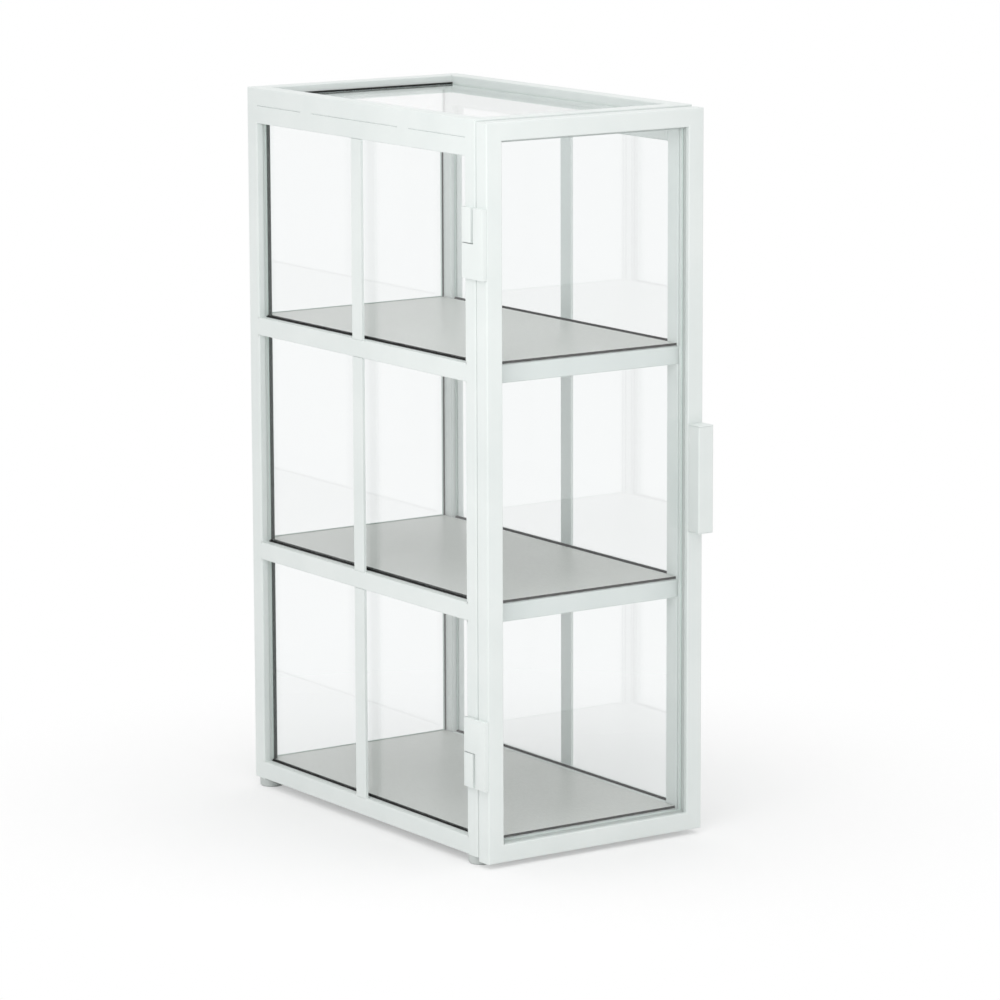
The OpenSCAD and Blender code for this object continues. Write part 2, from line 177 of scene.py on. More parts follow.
# Helpers

def sizes():
    """The sizes set in the scene."""
    return bpy.context.scene.bread_case_sizes


def finishes():
    """The colours set in the scene."""
    return bpy.context.scene.bread_case_finishes


def stage_settings():
    """The stage's settings in the scene."""
    return bpy.context.scene.bread_case_stage


def rgba(colour):
    """A colour with full alpha."""
    return (*colour, 1)


def per_mm(size):
    """Texture scale at which a pattern's feature measures size millimetres."""
    return 1 / (size * MM)


def add(tree, kind, inputs=None, **settings):
    """Adds a node with its settings; inputs are values or linked sockets, by name or number."""
    made = tree.nodes.new(kind)
    for name, value in settings.items():
        setattr(made, name, value)
    for name, value in (inputs or {}).items():
        if isinstance(value, bpy.types.NodeSocket):
            tree.links.new(value, made.inputs[name])
        else:
            made.inputs[name].default_value = value
    return made


def begin_material(name):
    """An empty material's node tree, and the Object coordinates of what it covers."""
    material = bpy.data.materials.new(name)
    material.use_nodes = True
    tree = material.node_tree
    tree.nodes.clear()
    return material, tree, add(tree, "ShaderNodeTexCoord").outputs["Object"]


def end_material(material, tree, surface):
    """Links the surface to the output and returns the material."""
    add(tree, "ShaderNodeOutputMaterial", {"Surface": surface})
    return material


def blend_colours(tree, factor, low, high):
    """The colour between two others, as a socket."""
    mix = add(tree, "ShaderNodeMix", {"Factor": factor, 6: low, 7: high}, data_type="RGBA")
    return mix.outputs[2]


def spread(tree, value, low, high):
    """Stretches a pattern's middle range over the values from low to high."""
    return add(tree, "ShaderNodeMapRange", {"Value": value, "From Min": 0.3, "From Max": 0.7,
                                            "To Min": low, "To Max": high}).outputs["Result"]


# Materials

def powder_coat():
    """Polyester powder baked on steel: semi-matt, with a faint orange peel and soft cloudiness."""
    material, tree, place = begin_material("polyester_powder_coat")
    cloud = add(tree, "ShaderNodeTexNoise", {"Vector": place, "Scale": per_mm(70), "Detail": 3})
    peel = add(tree, "ShaderNodeTexNoise", {"Vector": place, "Scale": per_mm(2.6), "Detail": 2})
    grit = add(tree, "ShaderNodeTexNoise", {"Vector": place, "Scale": per_mm(0.7), "Detail": 1})
    colour = blend_colours(tree, spread(tree, cloud.outputs["Fac"], 0, 1),
                           rgba(finishes().paint_thin), rgba(finishes().paint))
    peeled = add(tree, "ShaderNodeBump", {"Strength": 0.25, "Distance": 0.05 * MM,
                                          "Height": peel.outputs["Fac"]})
    gritty = add(tree, "ShaderNodeBump", {"Strength": 0.12, "Distance": 0.02 * MM,
                                          "Height": grit.outputs["Fac"],
                                          "Normal": peeled.outputs["Normal"]})
    surface = add(tree, "ShaderNodeBsdfPrincipled", {
        "Base Color": colour, "Roughness": spread(tree, peel.outputs["Fac"], 0.36, 0.46),
        "IOR": 1.5, "Normal": gritty.outputs["Normal"]})
    return end_material(material, tree, surface.outputs["BSDF"])


def laminate_decor():
    """Satin melamine face of a compact laminate panel: grey paper with short darker fibres."""
    material, tree, place = begin_material("satin_melamine_decor")
    stretched = add(tree, "ShaderNodeMapping", {"Vector": place, "Scale": (1, 0.25, 1)})
    fibre = add(tree, "ShaderNodeTexNoise", {"Vector": stretched.outputs["Vector"], "Scale": per_mm(1.6),
                                             "Detail": 4, "Roughness": 0.6})
    cloud = add(tree, "ShaderNodeTexNoise", {"Vector": place, "Scale": per_mm(45), "Detail": 2})
    press = add(tree, "ShaderNodeTexNoise", {"Vector": place, "Scale": per_mm(1.2), "Detail": 1})
    fleck = blend_colours(tree, spread(tree, fibre.outputs["Fac"], 1, 0),
                          rgba(finishes().decor), rgba(finishes().decor_fleck))
    shade = add(tree, "ShaderNodeHueSaturation", {
        "Color": fleck, "Value": spread(tree, cloud.outputs["Fac"], 0.97, 1.03)})
    relief = add(tree, "ShaderNodeBump", {"Strength": 0.2, "Distance": 0.04 * MM,
                                          "Height": press.outputs["Fac"]})
    surface = add(tree, "ShaderNodeBsdfPrincipled", {
        "Base Color": shade.outputs["Color"], "Roughness": spread(tree, cloud.outputs["Fac"], 0.34, 0.42),
        "IOR": 1.5, "Normal": relief.outputs["Normal"]})
    return end_material(material, tree, surface.outputs["BSDF"])


def laminate_core():
    """Sawn and polished phenolic core: nearly black, in thin pressed sheets that just show."""
    material, tree, place = begin_material("phenolic_core")
    layers = add(tree, "ShaderNodeTexWave", {"Vector": place, "Scale": per_mm(0.5) / math.tau,
                                             "Distortion": 0.6, "Detail": 2}, bands_direction="Z")
    streak = add(tree, "ShaderNodeTexNoise", {"Vector": place, "Scale": per_mm(3), "Detail": 3})
    lighter = [min(1, 1.7 * part) for part in finishes().core]
    colour = blend_colours(tree, spread(tree, streak.outputs["Fac"], 0, 1),
                           rgba(finishes().core), rgba(lighter))
    relief = add(tree, "ShaderNodeBump", {"Strength": 0.3, "Distance": 0.03 * MM,
                                          "Height": layers.outputs["Fac"]})
    surface = add(tree, "ShaderNodeBsdfPrincipled", {
        "Base Color": colour, "Roughness": spread(tree, streak.outputs["Fac"], 0.45, 0.6),
        "IOR": 1.55, "Normal": relief.outputs["Normal"]})
    return end_material(material, tree, surface.outputs["BSDF"])


def clear_body(name, colour, clearness, roughness, ior, ripple_mm, ripple_depth):
    """A clear solid that light shines through: shadow and diffuse rays meet a Transparent shader."""
    material, tree, place = begin_material(name)
    ripple = add(tree, "ShaderNodeTexNoise", {"Vector": place, "Scale": per_mm(ripple_mm), "Detail": 1})
    relief = add(tree, "ShaderNodeBump", {"Strength": 0.1, "Distance": ripple_depth * MM,
                                          "Height": ripple.outputs["Fac"]})
    solid = add(tree, "ShaderNodeBsdfPrincipled", {
        "Base Color": rgba(colour), "Roughness": roughness, "IOR": ior, "Transmission Weight": clearness,
        "Normal": relief.outputs["Normal"]})
    open_to_light = add(tree, "ShaderNodeBsdfTransparent", {"Color": rgba(colour)})
    rays = add(tree, "ShaderNodeLightPath").outputs
    surface = solid.outputs["BSDF"]
    for ray in ("Is Diffuse Ray", "Is Shadow Ray"):
        surface = add(tree, "ShaderNodeMixShader", {
            0: rays[ray], 1: surface, 2: open_to_light.outputs["BSDF"]}).outputs["Shader"]
    return end_material(material, tree, surface)


def float_glass():
    """Clear float glass: flat, polished faces with the faint green of its iron."""
    return clear_body("clear_float_glass", finishes().glass, 1, 0, 1.52, 120, 0.002)


def silicone():
    """Clear silicone: glossy skin over a cloudy, nearly white body."""
    return clear_body("clear_silicone", finishes().sealant, 0.5, 0.3, 1.41, 9, 0.03)


def soft_bumper():
    """Clear polyurethane bumper: moulded and soft, with a satin skin."""
    return clear_body("clear_polyurethane", finishes().bumper, 0.7, 0.25, 1.49, 2, 0.05)


def ground_edge():
    """Ground and seamed glass edge: frosted, pale, and faintly green from inside the pane."""
    material, tree, place = begin_material("ground_glass_edge")
    scratch = add(tree, "ShaderNodeTexNoise", {"Vector": place, "Scale": per_mm(0.8), "Detail": 3})
    deeper = [0.9 * part for part in finishes().glass_edge]
    colour = blend_colours(tree, spread(tree, scratch.outputs["Fac"], 0, 1),
                           rgba(deeper), rgba(finishes().glass_edge))
    relief = add(tree, "ShaderNodeBump", {"Strength": 0.4, "Distance": 0.05 * MM,
                                          "Height": scratch.outputs["Fac"]})
    surface = add(tree, "ShaderNodeBsdfPrincipled", {
        "Base Color": colour, "Roughness": 0.4, "IOR": 1.52, "Normal": relief.outputs["Normal"]})
    return end_material(material, tree, surface.outputs["BSDF"])


def foam_tape():
    """Closed-cell foam glazing tape: black and dull, with the cut cells as fine pits, painted darker in
    their hollows as shade.
    """
    material, tree, place = begin_material("closed_cell_foam_tape")
    cells = add(tree, "ShaderNodeTexVoronoi", {"Vector": place, "Scale": per_mm(0.9)})
    # Painted shade: each cell's pit, low in the bump, is darker and its rim is painted lighter
    painted_rim_light = [1.8 * part + 0.01 for part in finishes().tape]
    colour = blend_colours(tree, spread(tree, cells.outputs["Distance"], 0, 1),
                           rgba(finishes().tape), rgba(painted_rim_light))
    relief = add(tree, "ShaderNodeBump", {"Strength": 0.6, "Distance": 0.15 * MM,
                                          "Height": cells.outputs["Distance"]})
    surface = add(tree, "ShaderNodeBsdfPrincipled", {
        "Base Color": colour, "Roughness": 0.85, "IOR": 1.5, "Normal": relief.outputs["Normal"]})
    return end_material(material, tree, surface.outputs["BSDF"])


def moulded_rubber():
    """Moulded rubber of the feet: light grey, with a faint bloom and a fine spark texture."""
    material, tree, place = begin_material("moulded_rubber")
    spark = add(tree, "ShaderNodeTexNoise", {"Vector": place, "Scale": per_mm(0.7), "Detail": 2})
    bloom = add(tree, "ShaderNodeTexNoise", {"Vector": place, "Scale": per_mm(9), "Detail": 3})
    dusty = [part + 0.03 for part in finishes().rubber]
    colour = blend_colours(tree, spread(tree, bloom.outputs["Fac"], 0, 1),
                           rgba(finishes().rubber), rgba(dusty))
    relief = add(tree, "ShaderNodeBump", {"Strength": 0.4, "Distance": 0.08 * MM,
                                          "Height": spark.outputs["Fac"]})
    surface = add(tree, "ShaderNodeBsdfPrincipled", {
        "Base Color": colour, "Roughness": spread(tree, bloom.outputs["Fac"], 0.5, 0.7), "IOR": 1.52,
        "Normal": relief.outputs["Normal"]})
    return end_material(material, tree, surface.outputs["BSDF"])


def plated_metal(name, colour, roughness, grain_mm):
    """Plated steel: metallic, with the faint lines of the part's turning under the plating."""
    material, tree, place = begin_material(name)
    along = add(tree, "ShaderNodeMapping", {"Vector": place, "Scale": (1, 1, 6)})
    grain = add(tree, "ShaderNodeTexNoise", {"Vector": along.outputs["Vector"], "Scale": per_mm(grain_mm),
                                             "Detail": 3})
    darker = [0.86 * part for part in colour]
    tone = blend_colours(tree, spread(tree, grain.outputs["Fac"], 0, 1), rgba(darker), rgba(colour))
    relief = add(tree, "ShaderNodeBump", {"Strength": 0.2, "Distance": 0.02 * MM,
                                          "Height": grain.outputs["Fac"]})
    surface = add(tree, "ShaderNodeBsdfPrincipled", {
        "Base Color": tone, "Metallic": 1,
        "Roughness": spread(tree, grain.outputs["Fac"], roughness, roughness + 0.12),
        "Normal": relief.outputs["Normal"]})
    return end_material(material, tree, surface.outputs["BSDF"])


def zinc_plate():
    """Bright zinc on the hinge pins and the foot screws: a soft, slightly blue grey shine."""
    return plated_metal("zinc_plated_steel", finishes().zinc, 0.32, 1.5)


def nickel_plate():
    """Nickel on the sintered magnets: a warmer and sharper shine than zinc."""
    return plated_metal("nickel_plated_magnet", finishes().nickel, 0.18, 0.9)


FINISHES = {
    "frame_paint": powder_coat,
    "shelf_board": laminate_decor,
    "pane_glass": float_glass,
    "glazing_tape": foam_tape,
    "clear_sealant": silicone,
    "pin_steel": zinc_plate,
    "magnet_plate": nickel_plate,
    "foot_rubber": moulded_rubber,
    "bumper_rubber": soft_bumper,
    "panel_core": laminate_core,
    "pane_edge": ground_edge,
}
made_materials = {}


def finish(name):
    """The material of a finish, made once."""
    if name not in made_materials:
        made_materials[name] = FINISHES[name]()
    return made_materials[name]


# Mesh helpers

def corner(node, x, y, z):
    """A point of a node's box: each of x, y and z is 0 at its low side and 1 at its high side."""
    low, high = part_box(node)
    return Vector(low[i] + share * (high[i] - low[i]) for i, share in enumerate((x, y, z)))


def cuboid(low, high):
    """A box between two corners, as a bmesh."""
    bm = bmesh.new()
    bmesh.ops.create_cube(bm, size=1)
    for vert in bm.verts:
        vert.co = Vector(low[i] + (vert.co[i] + 0.5) * (high[i] - low[i]) for i in range(3))
    return bm


def boxed(node, inset):
    """A node's box as a bmesh, smaller by an inset on every side."""
    low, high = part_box(node)
    return cuboid([value + inset for value in low], [value - inset for value in high])


def bevel_all(bm, width):
    """Cuts a flat bevel along every edge of a bmesh."""
    bmesh.ops.bevel(bm, geom=list(bm.edges), offset=width, segments=1, profile=0.5,
                    affect="EDGES", clamp_overlap=True)


def split_faces(bm, axis, seated=False):
    """First material on the faces along an axis, second on the rest, third under a seated piece."""
    bm.normal_update()
    for face in bm.faces:
        if abs(face.normal[axis]) > 0.99:
            face.material_index = 0
        elif seated and face.normal.z < -0.5:
            face.material_index = 2
        else:
            face.material_index = 1


def plain_mesh(name, bm):
    """Turns a bmesh into a mesh and frees it."""
    mesh = bpy.data.meshes.new(name)
    bm.to_mesh(mesh)
    bm.free()
    return mesh


def put(name, mesh, body, materials=(), replaces=()):
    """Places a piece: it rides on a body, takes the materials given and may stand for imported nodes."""
    piece = bpy.data.objects.new(name, mesh)
    bpy.context.scene.collection.objects.link(piece)
    for material in materials:
        mesh.materials.append(material)
    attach(piece, body)
    if replaces:
        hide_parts(*replaces)
    return piece


def merged(node):
    """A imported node's loose triangles, joined at their corners and freed of edges across flats."""
    bm = bmesh.new()
    bm.from_mesh(frame["nodes"][node].data)
    bmesh.ops.remove_doubles(bm, verts=bm.verts, dist=0.005 * MM)
    bmesh.ops.dissolve_limit(bm, angle_limit=math.radians(1), verts=bm.verts, edges=bm.edges)
    return bm


def shrunk(node, inset):
    """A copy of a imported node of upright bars, with every face moved in by an inset."""
    bm = merged(node)
    bm.normal_update()
    for vert in bm.verts:
        vert.co -= Vector(math.copysign(inset, part) for part in vert.normal)
    return plain_mesh(node, bm)


def add_fillet(bm, start, end, first, second):
    """Adds a fillet with a hollow face from start to end; its two legs reach first and second."""
    rings = []
    for place in (start, end):
        ring = [bm.verts.new(place)]
        for step in range(FILLET_FLATS + 1):
            turn = math.radians(90 / FILLET_FLATS * step)
            reach = first * (1 - math.sin(turn)) + second * (1 - math.cos(turn))
            ring.append(bm.verts.new(place + reach))
        rings.append(ring)
    low, high = rings
    bm.faces.new(low)
    bm.faces.new(high)
    for i in range(len(low)):
        j = (i + 1) % len(low)
        bm.faces.new((low[i], low[j], high[j], high[i]))


def softened(node, width):
    """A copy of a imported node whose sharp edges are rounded."""
    bm = merged(node)
    sharp = [edge for edge in bm.edges if len(edge.link_faces) == 2
             and edge.calc_face_angle() > ROUND_FROM]
    bmesh.ops.bevel(bm, geom=sharp, offset=width, segments=ROUND_FLATS, profile=0.5, affect="EDGES",
                    clamp_overlap=True, harden_normals=False)
    bmesh.ops.recalc_face_normals(bm, faces=bm.faces)
    for face in bm.faces:
        face.smooth = True
    mesh = plain_mesh(node, bm)
    mesh.set_sharp_from_angle(angle=SHARP_FROM)
    return mesh


# Geometry node trees

def begin_tree(name, inputs):
    """A geometry node tree with a geometry in and out and further named inputs."""
    tree = bpy.data.node_groups.new(name, "GeometryNodeTree")
    tree.interface.new_socket("Geometry", in_out="INPUT", socket_type="NodeSocketGeometry")
    tree.interface.new_socket("Geometry", in_out="OUTPUT", socket_type="NodeSocketGeometry")
    for label, kind in inputs.items():
        tree.interface.new_socket(label, in_out="INPUT", socket_type=kind)
    return tree, add(tree, "NodeGroupInput").outputs


def end_tree(tree, shape, material):
    """Realizes what a tree makes, gives it its material and links it to the output."""
    real = add(tree, "GeometryNodeRealizeInstances", {"Geometry": shape})
    painted = add(tree, "GeometryNodeSetMaterial", {"Geometry": real.outputs[0], "Material": material})
    add(tree, "NodeGroupOutput", {"Geometry": painted.outputs[0]})
    return tree


def bead_tree():
    """Sweeps a round bead with even ripples along every edge of the mesh that it is given."""
    tree, given = begin_tree("bead_along_edges", {
        "Radius": "NodeSocketFloat", "Pitch": "NodeSocketFloat", "Ripple": "NodeSocketFloat",
        "Sides": "NodeSocketInt", "Steps": "NodeSocketFloat", "Material": "NodeSocketMaterial"})
    path = add(tree, "GeometryNodeMeshToCurve", {"Mesh": given["Geometry"]})
    step = add(tree, "ShaderNodeMath", {0: given["Pitch"], 1: given["Steps"]}, operation="DIVIDE")
    fine = add(tree, "GeometryNodeResampleCurve", {"Curve": path.outputs[0], "Length": step.outputs[0]},
               mode="LENGTH")
    along = add(tree, "GeometryNodeSplineParameter")
    turns = add(tree, "ShaderNodeMath", {0: along.outputs["Length"], 1: given["Pitch"]},
                operation="DIVIDE")
    angle = add(tree, "ShaderNodeMath", {0: turns.outputs[0], 1: math.tau}, operation="MULTIPLY")
    wave = add(tree, "ShaderNodeMath", {0: angle.outputs[0]}, operation="SINE")
    swell = add(tree, "ShaderNodeMath", {0: wave.outputs[0], 1: given["Ripple"], 2: 1.0},
                operation="MULTIPLY_ADD")
    section = add(tree, "GeometryNodeCurvePrimitiveCircle", {
        "Resolution": given["Sides"], "Radius": given["Radius"]})
    swept = add(tree, "GeometryNodeCurveToMesh", {
        "Curve": fine.outputs[0], "Profile Curve": section.outputs["Curve"],
        "Scale": swell.outputs[0], "Fill Caps": True})
    return end_tree(tree, swept.outputs[0], given["Material"])


def disc_tree():
    """Stands a bevelled disc on every point of the mesh that it is given, facing one way."""
    tree, given = begin_tree("discs_on_points", {
        "Diameter": "NodeSocketFloat", "Height": "NodeSocketFloat", "Edge": "NodeSocketFloat",
        "Sides": "NodeSocketInt", "Facing": "NodeSocketRotation", "Material": "NodeSocketMaterial"})
    full = add(tree, "ShaderNodeMath", {0: given["Diameter"], 1: 0.5}, operation="MULTIPLY")
    small = add(tree, "ShaderNodeMath", {0: full.outputs[0], 1: given["Edge"]}, operation="SUBTRACT")
    share = add(tree, "ShaderNodeMath", {0: small.outputs[0], 1: full.outputs[0]}, operation="DIVIDE")
    rise = add(tree, "ShaderNodeMath", {0: given["Height"], 1: given["Edge"]}, operation="SUBTRACT")
    base = add(tree, "GeometryNodeMeshCircle", {"Vertices": given["Sides"], "Radius": full.outputs[0]},
               fill_type="NGON")
    wall = add(tree, "GeometryNodeExtrudeMesh", {"Mesh": base.outputs[0], "Offset Scale": rise.outputs[0],
                                                 "Individual": False})
    edge = add(tree, "GeometryNodeExtrudeMesh", {"Mesh": wall.outputs["Mesh"],
                                                 "Selection": wall.outputs["Top"],
                                                 "Offset Scale": given["Edge"], "Individual": False})
    top = add(tree, "GeometryNodeScaleElements", {
        "Geometry": edge.outputs["Mesh"], "Selection": edge.outputs["Top"], "Scale": share.outputs[0]})
    under = add(tree, "GeometryNodeFlipFaces", {"Mesh": base.outputs[0]})
    both = add(tree, "GeometryNodeJoinGeometry", {0: top.outputs[0]})
    tree.links.new(under.outputs[0], both.inputs[0])
    closed = add(tree, "GeometryNodeMergeByDistance", {"Geometry": both.outputs[0],
                                                       "Distance": 0.001 * MM})
    stood = add(tree, "GeometryNodeInstanceOnPoints", {
        "Points": given["Geometry"], "Instance": closed.outputs[0], "Rotation": given["Facing"]})
    return end_tree(tree, stood.outputs[0], given["Material"])


def grown(tree, source, values):
    """The plain mesh that a tree makes of a source mesh, with its inputs set by identifier."""
    carrier = bpy.data.objects.new("carrier", source)
    bpy.context.scene.collection.objects.link(carrier)
    modifier = carrier.modifiers.new(tree.name, "NODES")
    modifier.node_group = tree
    for item in tree.interface.items_tree:
        if item.in_out == "INPUT" and item.name in values:
            modifier[item.identifier] = values[item.name]
    evaluated = carrier.evaluated_get(bpy.context.evaluated_depsgraph_get())
    mesh = bpy.data.meshes.new_from_object(evaluated)
    bpy.data.objects.remove(carrier)
    return mesh


def edges_mesh(name, runs):
    """A mesh of loose edges: each run is a list of points joined in order."""
    points = []
    edges = []
    for run in runs:
        start = len(points)
        points.extend(run)
        edges.extend((start + i, start + i + 1) for i in range(len(run) - 1))
    mesh = bpy.data.meshes.new(name)
    mesh.from_pydata(points, edges, [])
    return mesh


def beads(name, runs, radius, pitch, finish_name):
    """Rippled beads along the runs, as one plain smooth mesh."""
    mesh = grown(bead_tree(), edges_mesh(name, runs), {
        "Radius": radius, "Pitch": pitch, "Ripple": BEAD_RIPPLE, "Sides": BEAD_SIDES,
        "Steps": float(BEAD_STEPS), "Material": finish(finish_name)})
    mesh.shade_smooth()
    return mesh


# Operators

class BREADCASE_OT_frame(bpy.types.Operator):
    """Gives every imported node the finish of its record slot"""
    bl_idname = "bread_case.frame"
    bl_label = "Finish the frame and fittings"

    def execute(self, context):
        for row in frame["record"]["subparts"]:
            mesh = frame["nodes"][row["node"]].data
            mesh.materials.clear()
            mesh.materials.append(finish(row["material_slot"]))
        return {"FINISHED"}


class BREADCASE_OT_panels(bpy.types.Operator):
    """Makes the floor panel and the two shelves of grey compact laminate with a dark core"""
    bl_idname = "bread_case.panels"
    bl_label = "Laminate panels"

    def execute(self, context):
        for node in PANEL_NODES:
            bm = cuboid(*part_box(node))
            bevel_all(bm, sizes().panel_edge)
            split_faces(bm, 2)
            put(f"laminate_{node}", plain_mesh(node, bm), "case",
                [finish("shelf_board"), finish("panel_core")], [node])
        return {"FINISHED"}


class BREADCASE_OT_panes(bpy.types.Operator):
    """Makes every pane of float glass with ground and bevelled edges"""
    bl_idname = "bread_case.panes"
    bl_label = "Glass panes"

    def execute(self, context):
        nodes = [f"side_glass_{side}_{tier}" for side in SIDES for tier in TIERS]
        nodes += [f"back_glass_{tier}" for tier in TIERS] + ["top_glass", "door_glass"]
        for node in nodes:
            low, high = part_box(node)
            thin = min(range(3), key=lambda axis: high[axis] - low[axis])
            bm = boxed(node, sizes().free_edge)
            bevel_all(bm, sizes().arris)
            seated = node.startswith("side_glass")
            split_faces(bm, thin, seated)
            names = ["pane_glass", "pane_edge"]
            if seated:
                names.append("glazing_tape")
            body = "door" if node == "door_glass" else "case"
            put(f"pane_{node}", plain_mesh(node, bm), body,
                [finish(name) for name in names], [node])
        return {"FINISHED"}


class BREADCASE_OT_sealant(bpy.types.Operator):
    """Seals the panes and the panels with clear silicone"""
    bl_idname = "bread_case.sealant"
    bl_label = "Sealant"

    def execute(self, context):
        seats = [[corner(node, 0, 0, 0), corner(node, 1, 0, 0)] for node in PANEL_NODES]
        bead = beads("panel_sealant", seats, sizes().seat_bead, sizes().seal_pitch, "clear_sealant")
        put("panel_sealant", bead, "case")
        put("door_sealant", shrunk("door_glass_sealant", sizes().free_edge), "door",
            [finish("clear_sealant")], ["door_glass_sealant"])
        self.lay_fillets("side_sealant", "case", self.side_corners())
        self.lay_fillets("door_fillets", "door", self.door_corners())
        return {"FINISHED"}

    def lay_fillets(self, name, body, corners):
        """One piece with a tooled fillet in every corner that is given."""
        bm = bmesh.new()
        for start, end, first, second in corners:
            add_fillet(bm, start, end, first, second)
        bmesh.ops.recalc_face_normals(bm, faces=bm.faces)
        put(name, plain_mesh(name, bm), body, [finish("clear_sealant")])

    def side_corners(self):
        """The corners between the posts and the outer faces of the side panes."""
        room = sizes().free_edge / 2
        leg = sizes().seal_leg
        corners = []
        for side, outward in (("left", -1), ("right", 1)):
            for tier in TIERS:
                node = f"side_glass_{side}_{tier}"
                face = corner(node, (1 + outward) / 2, 0, 0).x + outward * room
                for post, inward in (("front", 1), ("back", -1)):
                    y = corner(f"post_{post}_{side}", 0, (1 + inward) / 2, 0).y + inward * room
                    corners.append((Vector((face, y, corner(node, 0, 0, 0).z)),
                                    Vector((face, y, corner(node, 0, 0, 1).z)),
                                    Vector((outward * leg, 0, 0)), Vector((0, inward * leg, 0))))
        return corners

    def door_corners(self):
        """The four corners between the door's frame and the front of its pane."""
        room = Vector((1, 0, 1)) * sizes().free_edge / 2
        low = corner("door_glass_sealant", 0, 0, 0) + room
        high = corner("door_glass_sealant", 1, 0, 1) - room
        low.y = high.y = corner("door_glass", 0, 0, 0).y
        leg = sizes().door_leg
        out = Vector((0, -leg, 0))
        low_right = Vector((high.x, low.y, low.z))
        high_left = Vector((low.x, low.y, high.z))
        return [(low, low_right, Vector((0, 0, leg)), out), (high_left, high, Vector((0, 0, -leg)), out),
                (low, high_left, Vector((leg, 0, 0)), out), (low_right, high, Vector((-leg, 0, 0)), out)]


class BREADCASE_OT_welds(bpy.types.Operator):
    """Lays the short weld beads where the side rails meet the posts"""
    bl_idname = "bread_case.welds"
    bl_label = "Weld beads"

    def execute(self, context):
        runs = []
        for side in SIDES:
            outer = 0 if side == "left" else 1
            reach = corner(f"side_glass_{side}_top", outer, 0, 0).x
            for tier in RAIL_TIERS:
                rail = f"side_rail_{side}_{tier}"
                start = corner(rail, outer, 0, 0).x
                for y in (0, 1):
                    for z in (0, 1):
                        joint = corner(rail, 0, y, z)
                        runs.append([Vector((x, joint.y, joint.z)) for x in (start, reach)])
        mesh = beads("frame_welds", runs, sizes().weld_bead, sizes().weld_pitch, "frame_paint")
        put("frame_welds", mesh, "case")
        return {"FINISHED"}


class BREADCASE_OT_hinges(bpy.types.Operator):
    """Rounds the edges of the hinge halves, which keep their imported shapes"""
    bl_idname = "bread_case.hinges"
    bl_label = "Hinges"

    def execute(self, context):
        for node, body in (("hinge_frame_halves", "case"), ("hinge_upper_door_half", "door"),
                           ("hinge_lower_door_half", "door")):
            put(f"rounded_{node}", softened(node, sizes().hinge_edge), body,
                [finish("frame_paint")], [node])
        return {"FINISHED"}


class BREADCASE_OT_handle(bpy.types.Operator):
    """Rounds the ground edges of the handle's end caps"""
    bl_idname = "bread_case.handle"
    bl_label = "Handle caps"

    def execute(self, context):
        put("rounded_handle_caps", softened("handle_caps", sizes().cap_edge), "door",
            [finish("frame_paint")], ["handle_caps"])
        return {"FINISHED"}


class BREADCASE_OT_catch(bpy.types.Operator):
    """Makes the catch magnets and the soft bumpers as bevelled discs"""
    bl_idname = "bread_case.catch"
    bl_label = "Catch magnets and bumpers"

    def execute(self, context):
        discs = disc_tree()
        # The magnets face the door, towards -Y, and the bumpers face the case
        for node, body, slot, sign in (("catch_magnets", "case", "magnet_plate", -1),
                                       ("door_bumpers", "door", "bumper_rubber", 1)):
            low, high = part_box(node)
            diameter = high.x - low.x
            centre_x = (low.x + high.x) / 2
            foot_y = high.y if sign < 0 else low.y
            ends = [low.z + diameter / 2, high.z - diameter / 2]
            points = edges_mesh(node, [[Vector((centre_x, foot_y, z))] for z in ends])
            mesh = grown(discs, points, {
                "Diameter": diameter, "Height": high.y - low.y, "Edge": sizes().disc_edge,
                "Sides": DISC_SIDES, "Facing": Euler((-sign * math.pi / 2, 0, 0)),
                "Material": finish(slot)})
            put(f"bevelled_{node}", mesh, body, replaces=[node])
        return {"FINISHED"}


